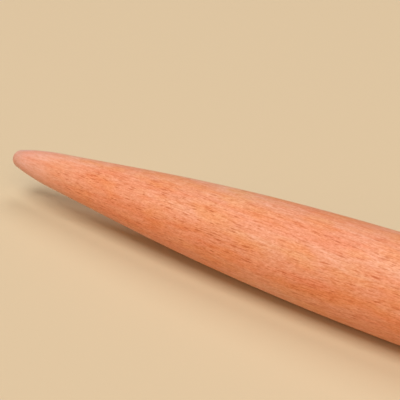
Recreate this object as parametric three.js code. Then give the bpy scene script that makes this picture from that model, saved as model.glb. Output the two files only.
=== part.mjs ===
// Tapered rolling pin, turned from one length of beech.
// Millimetres, +Z up. The pin lies along X and rests on Z = 0, with its middle over the origin.
import * as THREE from "three";

// Driving dimensions
const PIN_LENGTH = 400; // tip to tip
const BARREL_DIAMETER = 35; // the thickest part, in the middle
const BARREL_LENGTH = 44; // straight stretch between the two tapers
const CONE_END = 66; // from a tip to the end of its straight cone, where the sweep begins
const SHOULDER_END = 23.5; // from a tip to the end of its shoulder, where the cone begins
const SHOULDER_RADIUS = 145; // arc that fills out the tip between nose and cone
const NOSE_RADIUS = 3.9; // ball that rounds off each tip

// How finely the turned surface is cut into flat faces. SIDES is even, so that two flats face up and down.
const SIDES = 64;
const NOSE_STEPS = 7;
const SHOULDER_STEPS = 4;
const SWEEP_STEPS = 14;

// Finish: oiled beech
const BEECH_COLOUR = 0xd98a5f;
const BEECH_ROUGHNESS = 0.5;
const BEECH_METALNESS = 0;

// The slope at which the nose leaves the shoulder. The nose's ball touches the shoulder's arc from the
// inside, and the arc has turned to the cone's slope where the shoulder ends.
function noseSlope(coneSlope) {
  return Math.asin(
    (SHOULDER_END - NOSE_RADIUS + SHOULDER_RADIUS * Math.sin(coneSlope)) / (SHOULDER_RADIUS - NOSE_RADIUS),
  );
}

// How far from the axis the outline gets at the barrel, if the cone has the given slope: the height at the
// shoulder's end, and what the cone and the sweep add to it.
function reach(coneSlope, taperLength) {
  const shoulder =
    SHOULDER_RADIUS * Math.cos(coneSlope) - (SHOULDER_RADIUS - NOSE_RADIUS) * Math.cos(noseSlope(coneSlope));
  const cone = (CONE_END - SHOULDER_END) * Math.tan(coneSlope);
  const sweep = (taperLength - CONE_END) * Math.tan(coneSlope / 2);
  return shoulder + cone + sweep;
}

// The one slope of the cone with which the outline gets just to the barrel's radius, so that nose, shoulder,
// cone, sweep and barrel all meet in tangents. The reach grows steadily with the slope, so halving the
// interval finds it. At the upper end of the interval the shoulder would turn square to the axis.
function solveConeSlope(taperLength, barrelRadius) {
  let [low, high] = [0, Math.asin(1 - SHOULDER_END / SHOULDER_RADIUS)];
  while (high - low > Number.EPSILON) {
    const middle = (low + high) / 2;
    if (reach(middle, taperLength) < barrelRadius) low = middle;
    else high = middle;
  }
  return low;
}

// Points along an arc about a centre on the outline's plane, both ends included. Angles run from the radial
// direction.
function arcPoints(radialCentre, axialCentre, radius, startAngle, endAngle, steps) {
  return Array.from({ length: steps + 1 }, (_, i) => {
    const angle = THREE.MathUtils.lerp(startAngle, endAngle, i / steps);
    return new THREE.Vector2(
      radialCentre + radius * Math.cos(angle),
      axialCentre + radius * Math.sin(angle),
    );
  });
}

// Half of the turner's template, from the middle of the pin out to its tip: x is the radius, and y runs
// along the axis.
function taperOutline() {
  const tip = PIN_LENGTH / 2;
  const barrelEnd = BARREL_LENGTH / 2;
  const barrelRadius = BARREL_DIAMETER / 2;
  const taperLength = tip - barrelEnd;
  const coneSlope = solveConeSlope(taperLength, barrelRadius);
  const shoulderSlope = noseSlope(coneSlope);

  // The sweep turns from the barrel's straight side to the cone's slope, on one large arc.
  const sweepRadius = (taperLength - CONE_END) / Math.sin(coneSlope);
  const sweep = arcPoints(barrelRadius - sweepRadius, barrelEnd, sweepRadius, 0, coneSlope, SWEEP_STEPS);

  // The cone is the straight edge between the sweep's last point and the shoulder's first. The shoulder's
  // centre lies across the axis, in line with the nose's centre and the point where the two arcs touch.
  const noseCentre = tip - NOSE_RADIUS;
  const apart = SHOULDER_RADIUS - NOSE_RADIUS;
  const shoulder = arcPoints(
    -apart * Math.cos(shoulderSlope),
    noseCentre - apart * Math.sin(shoulderSlope),
    SHOULDER_RADIUS,
    coneSlope,
    shoulderSlope,
    SHOULDER_STEPS,
  );

  const nose = arcPoints(0, noseCentre, NOSE_RADIUS, shoulderSlope, Math.PI / 2, NOSE_STEPS).slice(1);
  nose[nose.length - 1].x = 0; // the tip itself lies on the axis
  return [...sweep, ...shoulder, ...nose];
}

// The whole outline, from one tip to the other, with the two tapers as mirror images.
function pinOutline() {
  const taper = taperOutline();
  const mirrored = taper.map((point) => new THREE.Vector2(point.x, -point.y));
  return [...mirrored.reverse(), ...taper];
}

function makePin() {
  const halfSide = Math.PI / SIDES;
  const geometry = new THREE.LatheGeometry(pinOutline(), SIDES, halfSide);
  const material = new THREE.MeshStandardMaterial({
    color: BEECH_COLOUR,
    roughness: BEECH_ROUGHNESS,
    metalness: BEECH_METALNESS,
  });
  const pin = new THREE.Mesh(geometry, material);
  pin.name = "turned_pin";

  // A lathe turns about Y, so the pin is laid down along X, and lifted until its lowest flat lies on Z = 0.
  pin.rotation.z = -Math.PI / 2;
  pin.position.z = (BARREL_DIAMETER / 2) * Math.cos(halfSide);
  return pin;
}

const rollingPin = new THREE.Group();
rollingPin.add(makePin());

export default rollingPin;
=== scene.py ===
# %% [markdown]
# # A tapered rolling pin in oiled beech
# The pin is one length of beech, turned to a slim double taper and rubbed with oil. It has no handles and
# nothing turns inside it, so the whole lesson is about two things: a surface of revolution whose curve never
# breaks, and a wood that runs through the pin as it ran through the log.
#
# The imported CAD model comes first. It fixes the pin's place and size, and every later size is read from it
# or measured against it. Blender works in metres here, and small things are given in millimetres and scaled
# by MM.

import bpy
import numpy as np
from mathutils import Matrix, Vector


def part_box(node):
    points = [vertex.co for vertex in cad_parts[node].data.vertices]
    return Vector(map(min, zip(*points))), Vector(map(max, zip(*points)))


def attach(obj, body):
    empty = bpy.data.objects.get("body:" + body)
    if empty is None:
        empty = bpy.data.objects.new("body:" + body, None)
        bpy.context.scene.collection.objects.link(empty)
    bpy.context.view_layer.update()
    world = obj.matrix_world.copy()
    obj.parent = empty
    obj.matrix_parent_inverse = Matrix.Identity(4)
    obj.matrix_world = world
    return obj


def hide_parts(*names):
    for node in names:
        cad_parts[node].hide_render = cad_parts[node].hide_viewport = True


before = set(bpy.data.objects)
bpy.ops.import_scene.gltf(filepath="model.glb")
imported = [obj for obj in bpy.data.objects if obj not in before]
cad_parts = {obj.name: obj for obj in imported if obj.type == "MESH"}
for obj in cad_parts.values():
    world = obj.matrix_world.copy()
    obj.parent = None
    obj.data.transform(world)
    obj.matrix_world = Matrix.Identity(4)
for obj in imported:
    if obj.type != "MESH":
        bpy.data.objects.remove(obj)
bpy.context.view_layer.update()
MM = 0.001

# %% [markdown]
# ## The turner's template
# A turner shapes such a pin against a template. From the tip on, it has a small ball, a shoulder on a wide
# arc that fills out the tip, a straight cone, a long sweep on one very large arc, and a short straight barrel
# in the middle. They could be drawn as a spline through a few points, but a spline bulges between its
# points, and the eye finds a bulge on a polished taper at once. Exact stretches that meet in tangents have
# none.
#
# The length and the thickness come from the CAD node. Only the sizes that its box can't tell are given here.

# %% Sizes of the outline
pin_low, pin_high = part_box("turned_pin")
pin_length = pin_high.x - pin_low.x
barrel_radius = (pin_high.z - pin_low.z) / 2
axis_height = pin_low.z + barrel_radius
tip_at = pin_length / 2

NOSE_RADIUS = 3.9 * MM
SHOULDER_RADIUS = 145 * MM
SHOULDER_END = 23.5 * MM
CONE_END = 66 * MM
BARREL_LENGTH = 44 * MM
taper_length = tip_at - BARREL_LENGTH / 2
apart = SHOULDER_RADIUS - NOSE_RADIUS
print(f"pin {pin_length / MM:.1f} mm long, barrel {2 * barrel_radius / MM:.2f} mm thick")

# %% [markdown]
# ## One slope for all
# One number is still open: how steep is the cone, so that the outline arrives at the barrel with just the
# barrel's radius? Each stretch adds its own height, and a steeper cone makes every one of them higher. So
# the sum grows steadily with the slope, and halving an interval over and over closes in on the one slope
# that fits.

# %% Slopes that fit
HALVINGS = 60


def nose_slope(cone_slope):
    """The slope where nose and shoulder touch. The nose's ball touches the shoulder's arc from the inside,
    so its sine is (shoulder end - nose radius + shoulder radius times sin(cone slope)) divided by
    (shoulder radius - nose radius)."""
    return np.arcsin((SHOULDER_END - NOSE_RADIUS + SHOULDER_RADIUS * np.sin(cone_slope)) / apart)


def radius_reached(cone_slope):
    """The outline's radius at the barrel: the height of the shoulder's end, plus (cone end - shoulder end)
    times tan(slope) for the cone, plus (taper - cone end) times tan(slope / 2) for the sweep."""
    shoulder = SHOULDER_RADIUS * np.cos(cone_slope) - apart * np.cos(nose_slope(cone_slope))
    cone = (CONE_END - SHOULDER_END) * np.tan(cone_slope)
    return shoulder + cone + (taper_length - CONE_END) * np.tan(cone_slope / 2)


def fitting_slope():
    """Halve the interval between a flat cone and the steepest one that the shoulder allows, many times."""
    flat, steep = 0.0, np.arcsin(1 - SHOULDER_END / SHOULDER_RADIUS)
    for _ in range(HALVINGS):
        middle = (flat + steep) / 2
        flat, steep = (middle, steep) if radius_reached(middle) < barrel_radius else (flat, middle)
    return flat


slope = fitting_slope()
steepest = nose_slope(slope)
nose_end = NOSE_RADIUS * (1 - np.sin(steepest))
sweep_radius = (taper_length - CONE_END) / np.sin(slope)
print(f"cone {np.degrees(slope):.2f} degrees to each side, nose meets shoulder at {np.degrees(steepest):.1f}")
print(f"the sweep is an arc of {sweep_radius / MM:.0f} mm radius")

# %% [markdown]
# ## The outline as a function
# One function gives the pin's radius at any distance from the nearer tip. It works on whole arrays, and
# picks for each point the stretch that it lies on. The ball, the shoulder and the sweep are all circles,
# only with other centres.


# %% Radius along the pin
def circle(s, middle, height, radius):
    """Upper edge of a circle: height + sqrt(radius^2 - (s - middle)^2)."""
    return height + np.sqrt(np.clip(radius**2 - (s - middle) ** 2, 0, None))


def outline_radius(from_tip):
    """Nose, shoulder and sweep are circles, and the cone is a straight line from the shoulder's end. The
    shoulder's centre lies across the axis, in line with the nose's centre and the point where the two
    touch."""
    s = np.asarray(from_tip, float)
    nose = circle(s, NOSE_RADIUS, 0, NOSE_RADIUS)
    shoulder_height = -apart * np.cos(steepest)
    shoulder = circle(s, NOSE_RADIUS + apart * np.sin(steepest), shoulder_height, SHOULDER_RADIUS)
    cone = shoulder_height + SHOULDER_RADIUS * np.cos(slope) + (s - SHOULDER_END) * np.tan(slope)
    sweep = circle(np.minimum(s, taper_length), taper_length, barrel_radius - sweep_radius, sweep_radius)
    return np.select([s < nose_end, s < SHOULDER_END, s < CONE_END], [nose, shoulder, cone], sweep)


sample_places = np.array([0, nose_end, SHOULDER_END, CONE_END, taper_length, tip_at])
print("from the tip, in mm:", np.round(sample_places / MM, 1))
print("radius there, in mm:", np.round(outline_radius(sample_places) / MM, 2))

# %% [markdown]
# ## The turned surface
# The CAD model has 64 flat sides, which would show as stripes of light. So the pin gets a skin of its own:
# the outline turned round the axis on a fine grid, with rings set close together on the nose, where it
# curves most. On the barrel the skin touches each flat along its middle. On the tapers it is cut finer than
# the CAD model, and runs within a few hundredths of a millimetre of it.
#
# A Screw or Spin modifier could turn the outline too. Working the grid out as arrays keeps the order of the
# faces in our hands, so they point outwards, and each tip closes in a fan round one point.

# %% Rings and turns
SIDES = 256
NOSE_RINGS = 18
BODY_RINGS = 168

nose_turn = np.linspace(0, np.pi / 2 - steepest, NOSE_RINGS + 1)[1:]
nose_steps = NOSE_RADIUS * (1 - np.cos(nose_turn))
body_steps = np.linspace(nose_end, tip_at, BODY_RINGS + 1)[1:]
half_steps = np.concatenate([nose_steps, body_steps])
ring_places = np.concatenate([half_steps - tip_at, (tip_at - half_steps[:-1])[::-1]])
turns = np.arange(SIDES) * 2 * np.pi / SIDES
print(f"{len(ring_places)} rings of {SIDES} points")


def turned_surface(x, angle):
    """The outline turned about the pin's axis: y is minus the radius times the angle's cosine, and z is the
    axis' height plus the radius times its sine. Angle 0 faces the front, and a quarter turn faces up."""
    radius = outline_radius(tip_at - np.abs(x))
    return np.stack([x + 0 * angle, -radius * np.cos(angle), axis_height + radius * np.sin(angle)], -1)


# %% [markdown]
# ## From grid to mesh
# Four neighbours on the grid make a quad, and the last point of a ring is a neighbour of its first. The
# volume tells at once whether the skin is whole and faces outwards: it has to come out positive, and close
# to the volume of the CAD model.


# %% Make the mesh
def skin_of(name, rings):
    """A closed mesh from rings of points. Each point (i, j) makes a quad with the next ring i + 1 and the
    next point j + 1 of its ring, and a fan round one point on the axis closes each end."""
    count, sides, _ = rings.shape
    tips = np.array([[-tip_at, 0, axis_height], [tip_at, 0, axis_height]])
    index = np.arange(count * sides).reshape(count, sides)
    beside = np.roll(index, -1, axis=1)
    quads = np.stack([index[:-1], index[1:], beside[1:], beside[:-1]], -1).reshape(-1, 4)
    first_tip = np.full(sides, count * sides)
    first_fan = np.stack([first_tip, index[0], beside[0]], -1)
    last_fan = np.stack([first_tip + 1, beside[-1], index[-1]], -1)
    mesh = bpy.data.meshes.new(name)
    points = np.concatenate([rings.reshape(-1, 3), tips])
    mesh.from_pydata(points.tolist(), [], quads.tolist() + first_fan.tolist() + last_fan.tolist())
    mesh.validate()
    mesh.shade_smooth()
    piece = bpy.data.objects.new(name, mesh)
    bpy.context.scene.collection.objects.link(piece)
    return piece


def volume_of(mesh):
    """Sum over all triangles of a . (b x c) / 6. It is positive when the faces point outwards."""
    mesh.calc_loop_triangles()
    corners = np.array([triangle.vertices for triangle in mesh.loop_triangles])
    points = np.array([vertex.co for vertex in mesh.vertices])
    a, b, c = points[corners].transpose(1, 0, 2)
    return float(np.einsum("ij,ij->i", a, np.cross(b, c)).sum() / 6)


x_grid, angle_grid = np.meshgrid(ring_places, turns, indexing="ij")
pin = skin_of("pin_surface", turned_surface(x_grid, angle_grid))
print(f"volume {volume_of(pin.data) * 1e6:.1f} cm3, {len(pin.data.loop_triangles)} triangles")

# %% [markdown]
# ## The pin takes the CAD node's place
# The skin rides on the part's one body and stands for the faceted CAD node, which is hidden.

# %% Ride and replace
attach(pin, "root")
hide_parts("turned_pin")
print("pin_surface rides on root and replaces turned_pin")

# %% [markdown]
# ## The material and its first node
# The wood is all nodes, and a recipe of nodes written out link by link is hard to read. So one short helper
# adds a node, chooses its options and feeds its inputs in a single call. An input takes either a plain value
# or another node's output.
#
# The first node gives the place on the pin in the pin's own coordinates, and all the rest starts from it.

# %% Add and feed a node
beech = bpy.data.materials.new("oiled_beech")
beech.use_nodes = True
tree = beech.node_tree
tree.nodes.clear()
pin.data.materials.append(beech)


def feed(tree, socket, value):
    """Give a socket its value: a link if the value is another node's output, or else a plain value."""
    if isinstance(value, bpy.types.NodeSocket):
        tree.links.new(value, socket)
    else:
        socket.default_value = value


def add(tree, kind, inputs=None, **options):
    """Add a node of a kind, choose its options and feed its inputs, which are named or numbered."""
    node = tree.nodes.new(kind)
    for option, choice in options.items():
        setattr(node, option, choice)
    for key, value in (inputs or {}).items():
        feed(tree, node.inputs[key], value)
    return node


place = add(tree, "ShaderNodeTexCoord").outputs["Object"]
print(f"the beech starts from the place in {place.name} coordinates")

# %% [markdown]
# ## Sums in one line
# Most nodes of a procedural material only do sums. Three more helpers write each of them as one line: one for
# numbers, one for vectors, and one that maps a range to another.


# %% Sums and ranges
def sums(tree, operation, *values, clamp=False):
    """One Math node: the operation on up to three numbers."""
    inputs = dict(enumerate(values))
    return add(tree, "ShaderNodeMath", inputs, operation=operation, use_clamp=clamp).outputs[0]


def vectors(tree, operation, *values, output="Vector"):
    """One Vector Math node: the operation on up to three vectors."""
    inputs = dict(enumerate(values))
    return add(tree, "ShaderNodeVectorMath", inputs, operation=operation).outputs[output]


def stretch(tree, value, low, high, new_low=0.0, new_high=1.0, smooth=False):
    """Map a value from one range to another, held at both ends, with soft ends if asked."""
    inputs = {0: value, 1: low, 2: high, 3: new_low, 4: new_high}
    kind = "SMOOTHSTEP" if smooth else "LINEAR"
    return add(tree, "ShaderNodeMapRange", inputs, interpolation_type=kind).outputs[0]


print("helpers made:", [helper.__name__ for helper in (sums, vectors, stretch)])

# %% [markdown]
# ## Colours as a screen shows them
# A paint program shows a colour as three numbers up to 255, and Blender counts light. The two differ by a
# curve, so one last helper takes the numbers from the screen and gives the light.


# %% Colours
def paint(red, green, blue):
    """A colour as Blender's linear values, from its 8-bit values on a screen."""
    screen = np.array([red, green, blue]) / 255
    linear = np.where(screen <= 0.04045, screen / 12.92, ((screen + 0.055) / 1.055) ** 2.4)
    return (*linear.tolist(), 1.0)


print("mid grey on a screen is this share of white in light:", round(paint(128, 128, 128)[0], 3))

# %% [markdown]
# ## Where the pin lay in the log
# Wood isn't a picture wrapped round a thing. Rings and rays go right through it, and what shows is where the
# lathe cut them. So the material works in the log's own directions: along the stem, out from the pith, and
# around it.
#
# The pith lies outside the pin, behind and below it, because a pin is cut from a plank and not from the
# heart. The stem leans and turns a little against the pin, so the grain crosses it at a small angle, and
# the rings run out along it.

# %% Directions of the log
PITH_DISTANCE = 62.0
PITH_BELOW = np.radians(24)
LEAN = np.radians(2.2)
TWIST = np.radians(4.2)

pith_behind = PITH_DISTANCE * np.cos(PITH_BELOW)
pith_below = PITH_DISTANCE * np.sin(PITH_BELOW)
in_log = add(
    tree,
    "ShaderNodeMapping",
    {
        "Vector": place,
        "Location": (0, -pith_behind, pith_below - axis_height / MM),
        "Rotation": (0, LEAN, TWIST),
        "Scale": (1 / MM, 1 / MM, 1 / MM),
    },
).outputs[0]
print(f"the pith runs {pith_behind:.1f} mm behind the pin's middle and {pith_below:.1f} mm below it")

# %% [markdown]
# ## Fibres that wander
# Straight grain is a sign of a computer. Real fibres wander by a few degrees, so a slow noise pushes the
# place sideways before anything is read from it. It is stretched along the stem, because fibres don't bend
# in a hurry.

# %% Wandering fibres
WANDER = 2.6


def noise(tree, vector, along, across, detail=2.0, roughness=0.5, shift=(0, 0, 0)):
    """Noise whose grains are as long and as wide as given, in mm. A shift, counted in grains, slides it to
    another spot. It comes back as the node, so that a caller can take its value or its colour."""
    scaled = vectors(tree, "MULTIPLY_ADD", vector, (1 / along, 1 / across, 1 / across), shift)
    inputs = {"Vector": scaled, "Scale": 1.0, "Detail": detail, "Roughness": roughness}
    return add(tree, "ShaderNodeTexNoise", inputs)


drift = noise(tree, in_log, along=60, across=20, detail=4.0, roughness=0.55).outputs["Color"]
centred = vectors(tree, "SUBTRACT", drift, (0.5, 0.5, 0.5))
sideways = vectors(tree, "MULTIPLY", centred, (0, WANDER, WANDER))
fibre_place = vectors(tree, "ADD", in_log, sideways)
print(f"the fibres drift by up to {WANDER / 2} mm to each side")

# %% [markdown]
# ## Directions that bend with the rings
# A second set of directions follows the rings: the distance out from the pith, and the way around it. Both
# come from Pythagoras and an arc tangent, and stay in millimetres.

# %% Out from the pith and around it
stem, across_y, across_z = add(tree, "ShaderNodeSeparateXYZ", {0: fibre_place}).outputs
squares = [sums(tree, "POWER", side, 2.0) for side in (across_y, across_z)]
out_from_pith = sums(tree, "SQRT", sums(tree, "ADD", *squares))
towards_pin = sums(tree, "MULTIPLY", across_y, -1.0)
turn_about_pith = sums(tree, "ARCTAN2", across_z, towards_pin)
around_pith = sums(tree, "MULTIPLY", turn_about_pith, PITH_DISTANCE)
log_place = add(tree, "ShaderNodeCombineXYZ", {0: stem, 1: around_pith, 2: out_from_pith}).outputs[0]
span = np.degrees(2 * barrel_radius / MM / PITH_DISTANCE)
print(f"seen from the pith, the pin spans about {span:.0f} degrees")

# %% [markdown]
# ## Ray flecks
# Rays are what tells beech from every other kitchen wood: thin brown ribbons that run out from the pith. Cut
# across, each one is a dash shaped like a grain of rye, one to four millimetres long and a third of a
# millimetre wide.
#
# A Voronoi texture gives one random point to each cell. Measured with the Manhattan distance, the places
# near such a point make a diamond, and a diamond stretched along the fibres is just the dash wanted.
# Only the stem and the way around the pith count, so a dash goes on inwards as a ribbon does. Two sizes of
# dash are needed, so the recipe is a group with its sizes as inputs.

# %% The fleck group
FAINTEST_FLECK = 0.25
REACH_POWER = 0.35


def make_fleck_group():
    """A node group that draws flecks. It divides the place by the cell's size, so that cells are 1 wide,
    and takes the distance d to the cell's point. A cell carries a fleck if its first random number is under
    the crowding. The fleck shows where d is under its reach, and reaches further the smaller that number
    is. A second random number says how dark it is."""
    group = bpy.data.node_groups.new("ray_flecks", "ShaderNodeTree")
    sockets = (
        ("Place", "NodeSocketVector"),
        ("Cell", "NodeSocketVector"),
        ("Reach", "NodeSocketFloat"),
        ("Crowding", "NodeSocketFloat"),
        ("Softness", "NodeSocketFloat"),
    )
    for name, kind in sockets:
        group.interface.new_socket(name, in_out="INPUT", socket_type=kind)
    group.interface.new_socket("Fleck", in_out="OUTPUT", socket_type="NodeSocketFloat")

    given = add(group, "NodeGroupInput").outputs
    in_cells = vectors(group, "DIVIDE", given["Place"], given["Cell"])
    cells = add(
        group,
        "ShaderNodeTexVoronoi",
        {"Vector": in_cells, "Scale": 1.0, "Randomness": 1.0},
        feature="F1",
        distance="MANHATTAN",
        voronoi_dimensions="2D",
    )
    luck, strength, _ = add(group, "ShaderNodeSeparateColor", {0: cells.outputs["Color"]}).outputs
    chosen = sums(group, "SUBTRACT", given["Crowding"], luck, clamp=True)
    how_far = sums(group, "MULTIPLY", given["Reach"], sums(group, "POWER", chosen, REACH_POWER))
    inside = sums(group, "SUBTRACT", how_far, cells.outputs["Distance"])
    shape = stretch(group, inside, 0.0, given["Softness"], smooth=True)
    fleck = sums(group, "MULTIPLY", shape, stretch(group, strength, 0.0, 1.0, new_low=FAINTEST_FLECK))
    add(group, "NodeGroupOutput", {0: fleck})
    return group


ray_flecks = make_fleck_group()
print(f"the fleck group has {len(ray_flecks.nodes)} nodes")

# %% [markdown]
# ## Paler tips
# Over the last stretch of each taper the colour changes: the tips hold less of the orange, their grain is
# fainter, and they take on a touch of grey. One mask says how faded a place is. It grows over the last
# stretch of each taper, from the distance to the pin's middle. A second one marks the ball at the very end,
# which is made a little less red still.

# %% How faded the tips are
TIP_FADE_LENGTH = 60 * MM
NOSE_ZONE_LENGTH = 10 * MM
TIP_GRAIN = 0.3
along_pin = add(tree, "ShaderNodeSeparateXYZ", {0: place}).outputs[0]
from_middle = sums(tree, "ABSOLUTE", along_pin)
faded = stretch(tree, from_middle, tip_at - TIP_FADE_LENGTH, tip_at, smooth=True)
unfaded = sums(tree, "SUBTRACT", 1.0, faded)
grain_depth = stretch(tree, unfaded, 0.0, 1.0, new_low=TIP_GRAIN)
at_nose = stretch(tree, from_middle, tip_at - NOSE_ZONE_LENGTH, tip_at - NOSE_RADIUS, smooth=True)
print(f"each tip is worn over its last {TIP_FADE_LENGTH / MM:.0f} mm")

# %% [markdown]
# ## Which way the rays are cut
# Where the surface faces the pith, or looks straight away from it, it cuts the rays end on, and each shows
# as a sharp dark dash. A quarter turn round the pin it cuts them broadside, and there they are wide flakes
# that hardly show. The cosine between the surface's outward direction and the ray's own tells the two apart.
# Both directions are worked out from the place and not from the shading normal, so that they bake as well.

# %% How far end on
BROADSIDE_COSINE = 0.6
END_ON_COSINE = 0.95
FLAKE_STRENGTH = 0.3
from_axis = vectors(tree, "SUBTRACT", place, (0, 0, axis_height))
outwards = vectors(tree, "NORMALIZE", vectors(tree, "MULTIPLY", from_axis, (0, 1, 1)))
along_ray = vectors(tree, "NORMALIZE", vectors(tree, "MULTIPLY", fibre_place, (0, 1, 1)))
end_on = sums(tree, "ABSOLUTE", vectors(tree, "DOT_PRODUCT", outwards, along_ray, output="Value"))
dark_dashes = stretch(tree, end_on, BROADSIDE_COSINE, END_ON_COSINE, new_low=FLAKE_STRENGTH)
print(f"flecks keep their strength up to {np.degrees(np.arccos(END_ON_COSINE)):.0f} degrees from end on")

# %% [markdown]
# ## Crowds and rows
# Flecks aren't strewn evenly. They are dense in one place and sparse in the next, and they stand in rows
# along the grain. A wide noise makes the crowds, a long and narrow one makes the rows, and their product
# says how many cells carry a fleck.


# %% Long and short flecks
def flecks(tree, cell, reach, softness):
    """Place the fleck group in a material, with its own cell size in mm."""
    values = {"Place": log_place, "Cell": cell, "Reach": reach, "Crowding": crowding, "Softness": softness}
    node = add(tree, "ShaderNodeGroup", node_tree=ray_flecks)
    for name, value in values.items():
        feed(tree, node.inputs[name], value)
    return node.outputs["Fleck"]


crowds = noise(tree, fibre_place, along=26, across=8).outputs[0]
rows = noise(tree, log_place, along=40, across=1.0, detail=1.0).outputs[0]
crowded = stretch(tree, crowds, 0.36, 0.64, new_low=0.6)
in_rows = stretch(tree, rows, 0.4, 0.6, new_low=0.4)
crowding = sums(tree, "MULTIPLY", crowded, in_rows)

LONG_CELL = (6.8, 0.7, 1.0)
SHORT_CELL = (3.4, 0.48, 1.0)
fleck_depth = sums(tree, "MULTIPLY", grain_depth, dark_dashes)
long_flecks = sums(tree, "MULTIPLY", fleck_depth, flecks(tree, LONG_CELL, reach=0.47, softness=0.12))
short_flecks = sums(tree, "MULTIPLY", fleck_depth, flecks(tree, SHORT_CELL, reach=0.5, softness=0.14))
print("cells per square centimetre:", [round(100 / (a * b)) for a, b, _ in (LONG_CELL, SHORT_CELL)])

# %% [markdown]
# ## Growth rings
# Beech has faint rings: each year ends in a thin, slightly darker line. On the taper they run out into long
# nested arches. The fraction of the distance from the pith, counted in years, gives a saw tooth. It darkens
# slowly over the year and drops back at once when the next begins, and a slow noise keeps the years uneven.

# %% Rings
RING_WIDTH = 2.7
UNEVEN_YEARS = 1.6
uneven = noise(tree, fibre_place, along=110, across=14, detail=1.0).outputs[0]
off_beat = sums(tree, "MULTIPLY", uneven, UNEVEN_YEARS)
year = sums(tree, "FRACT", sums(tree, "MULTIPLY_ADD", out_from_pith, 1 / RING_WIDTH, off_beat))
darkening = stretch(tree, year, 0.35, 0.9, smooth=True)
late_wood = sums(tree, "MULTIPLY", darkening, stretch(tree, year, 1.0, 0.93))
print(f"about {2 * barrel_radius / MM / RING_WIDTH:.0f} years of growth across the barrel")

# %% [markdown]
# ## Patches, streaks and fibres
# The tone of the wood changes on every scale. Patches as long as a finger take up more or less oil, and some
# spots come out more golden. Streaks and hairlines follow the rings, the fibres give a fine grain, and the
# pores are tiny specks, hardly longer than wide. Each is a noise of its own length and width. The patches
# are slid along the log until a pale one lies on the upper side of the taper: that pale patch is a painted
# sheen, and the rest of the patches are the wood's own tone.

# %% Noises from large to small
# The shift puts a pale patch on the upper side of the taper, where it is a painted sheen.
PATCH_AND_SHEEN_SHIFT = (-34.45, 9.23, 16.59)
patches = noise(tree, fibre_place, along=66, across=14.1, roughness=0.35, shift=PATCH_AND_SHEEN_SHIFT).outputs[0]
gilding = noise(tree, fibre_place, along=14, across=5).outputs[0]
streaks = noise(tree, log_place, along=18, across=1.8, detail=3.0, roughness=0.6).outputs[0]
hairlines = noise(tree, log_place, along=9, across=0.45, detail=1.0).outputs[0]
fibres = noise(tree, fibre_place, along=3.2, across=0.4, roughness=0.6).outputs[0]
pores = noise(tree, fibre_place, along=0.9, across=0.55, detail=1.0).outputs[0]
print("the tree has", sum(node.type == "TEX_NOISE" for node in tree.nodes), "noises")

# %% [markdown]
# ## Colour
# Steamed and oiled beech is a warm salmon orange. Where it is darker, it isn't simply greyer: the brown in
# the wood swallows blue most, green less and red least, as a stain on paper does. So there is one pale
# colour, and everything else is a transparent stain laid over it, layer by layer. The layers multiply, which
# keeps the hue true however many lie on top of each other.


# %% Stains
def stain(tree, under, share, takes, depth):
    """Lay a stain over a colour. Where the share is 1, each channel is multiplied by exp(-depth times its
    number in takes), which is how light dies away in a coloured film."""
    film = (*np.exp(-depth * np.array(takes)).tolist(), 1.0)
    inputs = {0: share, 6: under, 7: film}
    return add(tree, "ShaderNodeMix", inputs, data_type="RGBA", blend_type="MULTIPLY").outputs[2]


PALE_BEECH = paint(237, 186, 164)
ORANGE_TAKES = (0.05, 0.52, 0.85)
BROWN_TAKES = (0.22, 0.50, 0.82)
GOLD_TAKES = (0.02, 0.20, 1.0)
GREY_TAKES = (0.65, 1.0, 0.5)
ASH_TAKES = (1.0, 0.1, 0.0)
print("a brown stain of depth 1 lets through", np.round(np.exp(-np.array(BROWN_TAKES)), 2))

# %% [markdown]
# The oil comes first: orange in the patches, whose pale one on the taper's upper side is a painted sheen,
# and a little gold. Next is the grey towards the tips, with a little less red on the ball at each end. Then
# come the lines of the wood, from wide to narrow, and the flecks last, because they are the darkest.

# %% Lay the stains
# Less orange where the patches are pale; the pale patch on the taper's upper side is a painted sheen.
oil_and_sheen = sums(tree, "MULTIPLY", unfaded, stretch(tree, patches, 0.37, 0.71, new_low=0.1))
golden = sums(tree, "MULTIPLY", unfaded, stretch(tree, gilding, 0.42, 0.66))
tip_grey = sums(tree, "MULTIPLY", faded, faded)
fibrous = sums(tree, "MULTIPLY", grain_depth, stretch(tree, fibres, 0.4, 0.62))
porous = sums(tree, "MULTIPLY", grain_depth, stretch(tree, pores, 0.3, 0.7))

colour = stain(tree, PALE_BEECH, oil_and_sheen, ORANGE_TAKES, depth=0.64)
colour = stain(tree, colour, golden, GOLD_TAKES, depth=0.3)
colour = stain(tree, colour, tip_grey, GREY_TAKES, depth=0.2)
colour = stain(tree, colour, at_nose, ASH_TAKES, depth=0.1)
colour = stain(tree, colour, stretch(tree, streaks, 0.36, 0.68), ORANGE_TAKES, depth=0.36)
colour = stain(tree, colour, late_wood, BROWN_TAKES, depth=0.1)
colour = stain(tree, colour, stretch(tree, hairlines, 0.48, 0.7), BROWN_TAKES, depth=0.27)
colour = stain(tree, colour, fibrous, BROWN_TAKES, depth=0.53)
colour = stain(tree, colour, porous, BROWN_TAKES, depth=0.5)
colour = stain(tree, colour, short_flecks, BROWN_TAKES, depth=0.9)
colour = stain(tree, colour, long_flecks, BROWN_TAKES, depth=1.3)
print("stains laid:", sum(node.type == "MIX" for node in tree.nodes))

# %% [markdown]
# ## Gloss and relief
# Oil leaves a satin: the fibres break up the shine, and the flecks take more oil and lie a hair deeper. Both
# come from the same values as the colour, so they sit exactly on it.

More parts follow.
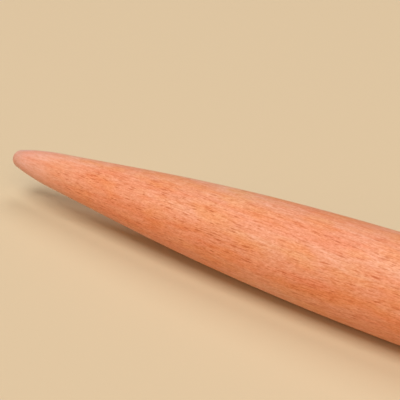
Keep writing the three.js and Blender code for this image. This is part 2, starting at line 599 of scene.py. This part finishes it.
# %% Finish the shader
FIBRE_HEIGHT = 0.5
FLECK_HEIGHT = -0.6
gloss = stretch(tree, fibres, 0.3, 0.7, new_low=0.46, new_high=0.54)
dents = sums(tree, "MAXIMUM", long_flecks, short_flecks)
relief = sums(tree, "MULTIPLY_ADD", fibres, FIBRE_HEIGHT, sums(tree, "MULTIPLY", dents, FLECK_HEIGHT))
bump = add(tree, "ShaderNodeBump", {"Strength": 0.2, "Distance": 0.05 * MM, "Height": relief})
wood = add(
    tree,
    "ShaderNodeBsdfPrincipled",
    {"Base Color": colour, "Roughness": gloss, "Normal": bump.outputs[0], "Specular IOR Level": 0.4},
)
add(tree, "ShaderNodeOutputMaterial", {"Surface": wood.outputs[0]})
print(f"oiled_beech has {len(tree.nodes)} nodes")

# %% [markdown]
# ## Floor
# The pin lies on a plain pale floor. It isn't white, because a warm floor throws warm light up into the
# underside, and it is matt, so that no lamp mirrors in it. It is a disc that ends well inside the ring of
# lamps, and so it is lit evenly out to its edge.

# %% Make the floor
FLOOR_RADIUS = 5.0
FLOOR_CORNERS = 128
corner_turn = np.arange(FLOOR_CORNERS) * 2 * np.pi / FLOOR_CORNERS
rim = np.stack([np.cos(corner_turn), np.sin(corner_turn), 0 * corner_turn], -1) * FLOOR_RADIUS
floor_mesh = bpy.data.meshes.new("floor")
floor_mesh.from_pydata(rim.tolist(), [], [range(FLOOR_CORNERS)])
floor = bpy.data.objects.new("floor", floor_mesh)
bpy.context.scene.collection.objects.link(floor)

pale = bpy.data.materials.new("pale_floor")
pale.use_nodes = True
pale_shader = pale.node_tree.nodes["Principled BSDF"]
pale_shader.inputs["Base Color"].default_value = paint(208, 187, 155)
pale_shader.inputs["Roughness"].default_value = 0.9
pale_shader.inputs["Specular IOR Level"].default_value = 0.0
floor_mesh.materials.append(pale)
print(f"floor {2 * FLOOR_RADIUS:.0f} m across")

# %% [markdown]
# ## Backdrop and room light
# A studio's far wall is pale, but a small object takes little light from it. So the world has two sides:
# camera rays see a pale backdrop, and everything else gets a faint warm light from all around.

# %% Make the world
ROOM_STRENGTH = 0.061
world = bpy.data.worlds.new("soft_room")
bpy.context.scene.world = world
world.use_nodes = True
room = world.node_tree
room.nodes.clear()
room_light = add(room, "ShaderNodeBackground", {"Color": paint(255, 227, 194), "Strength": ROOM_STRENGTH})
backdrop = add(room, "ShaderNodeBackground", {"Color": paint(228, 208, 176), "Strength": 1.0})
seen = add(room, "ShaderNodeLightPath").outputs["Is Camera Ray"]
either = add(room, "ShaderNodeMixShader", {0: seen, 1: room_light.outputs[0], 2: backdrop.outputs[0]})
add(room, "ShaderNodeOutputWorld", {"Surface": either.outputs[0]})
print("the room gives", ROOM_STRENGTH, "of the light that the backdrop seems to give")

# %% [markdown]
# ## Soft lamps
# Four large square lamps make the light: a bright one overhead, one behind that draws a sheen along the
# upper edge, and one lower down at each side, which shows how the tapers curve. The high ones are a shade
# cooler and the side ones warmer, as daylight from a window and its reflection from the walls are. They
# stand far off, because then the floor is lit as evenly as the pin, and they are wide, because soft shadows
# need it. The camera doesn't see them.

# %% Set up the lamps
LAMP_DISTANCE = 12.0
LAMP_SIZE = 6.8


def direction(azimuth, elevation):
    """Unit vector from the pin towards a viewer. Azimuth 0 looks along +Y and 90 along -X, in degrees."""
    a, e = np.radians([azimuth, elevation])
    return Vector((np.sin(a) * np.cos(e), -np.cos(a) * np.cos(e), np.sin(e)))


def soft_lamp(name, azimuth, elevation, power, colour):
    """A square area lamp that looks at the pin's middle, from a direction given as for a viewer. Its power
    is in watts."""
    light = bpy.data.lights.new(name, "AREA")
    light.shape = "SQUARE"
    light.size = LAMP_SIZE
    light.energy = power
    light.color = colour[:3]
    lamp = bpy.data.objects.new(name, light)
    bpy.context.scene.collection.objects.link(lamp)
    lamp.visible_camera = False
    lamp.location = direction(azimuth, elevation) * LAMP_DISTANCE
    lamp.rotation_mode = "QUATERNION"
    lamp.rotation_quaternion = direction(azimuth, elevation).to_track_quat("Z", "Y")


soft_lamp("overhead", 0, 70, 1005.0, paint(245, 250, 255))
soft_lamp("behind", 180, 65, 497.0, paint(247, 249, 255))
soft_lamp("left", 315, 22, 520.0, paint(255, 221, 188))
soft_lamp("right", 50, 42, 421.0, paint(255, 241, 211))
print(f"from the pin, a lamp spans {np.degrees(2 * np.arctan(LAMP_SIZE / LAMP_DISTANCE / 2)):.0f} degrees")

# %% [markdown]
# ## Camera
# It stands a short arm's length from the near taper and looks down at 28 degrees. Its lens of 81 mm is a
# short telephoto, which hardly stretches what is near. It aims at a point on the floor behind the taper,
# which is given from the tip, so the view holds if the pin's length changes.

# %% Set up the camera
VIEW_AZIMUTH = 34.89
VIEW_ELEVATION = 28.0
VIEW_DISTANCE = 382.9 * MM
AIM_FROM_TIP = 67.1 * MM
AIM_BEHIND = 39.75 * MM
LENS = 81.0
NEAREST_SEEN = 10 * MM

camera = bpy.data.objects.new("camera", bpy.data.cameras.new("camera"))
bpy.context.scene.collection.objects.link(camera)
camera.data.lens = LENS
camera.data.clip_start = NEAREST_SEEN
back = direction(VIEW_AZIMUTH, VIEW_ELEVATION)
aim = Vector((AIM_FROM_TIP - tip_at, AIM_BEHIND, 0))
camera.location = aim + back * VIEW_DISTANCE
camera.rotation_mode = "QUATERNION"
camera.rotation_quaternion = back.to_track_quat("Z", "Y")
bpy.context.scene.camera = camera
bpy.context.scene.view_settings.view_transform = "Standard"
print("camera at", [round(value, 3) for value in camera.location])
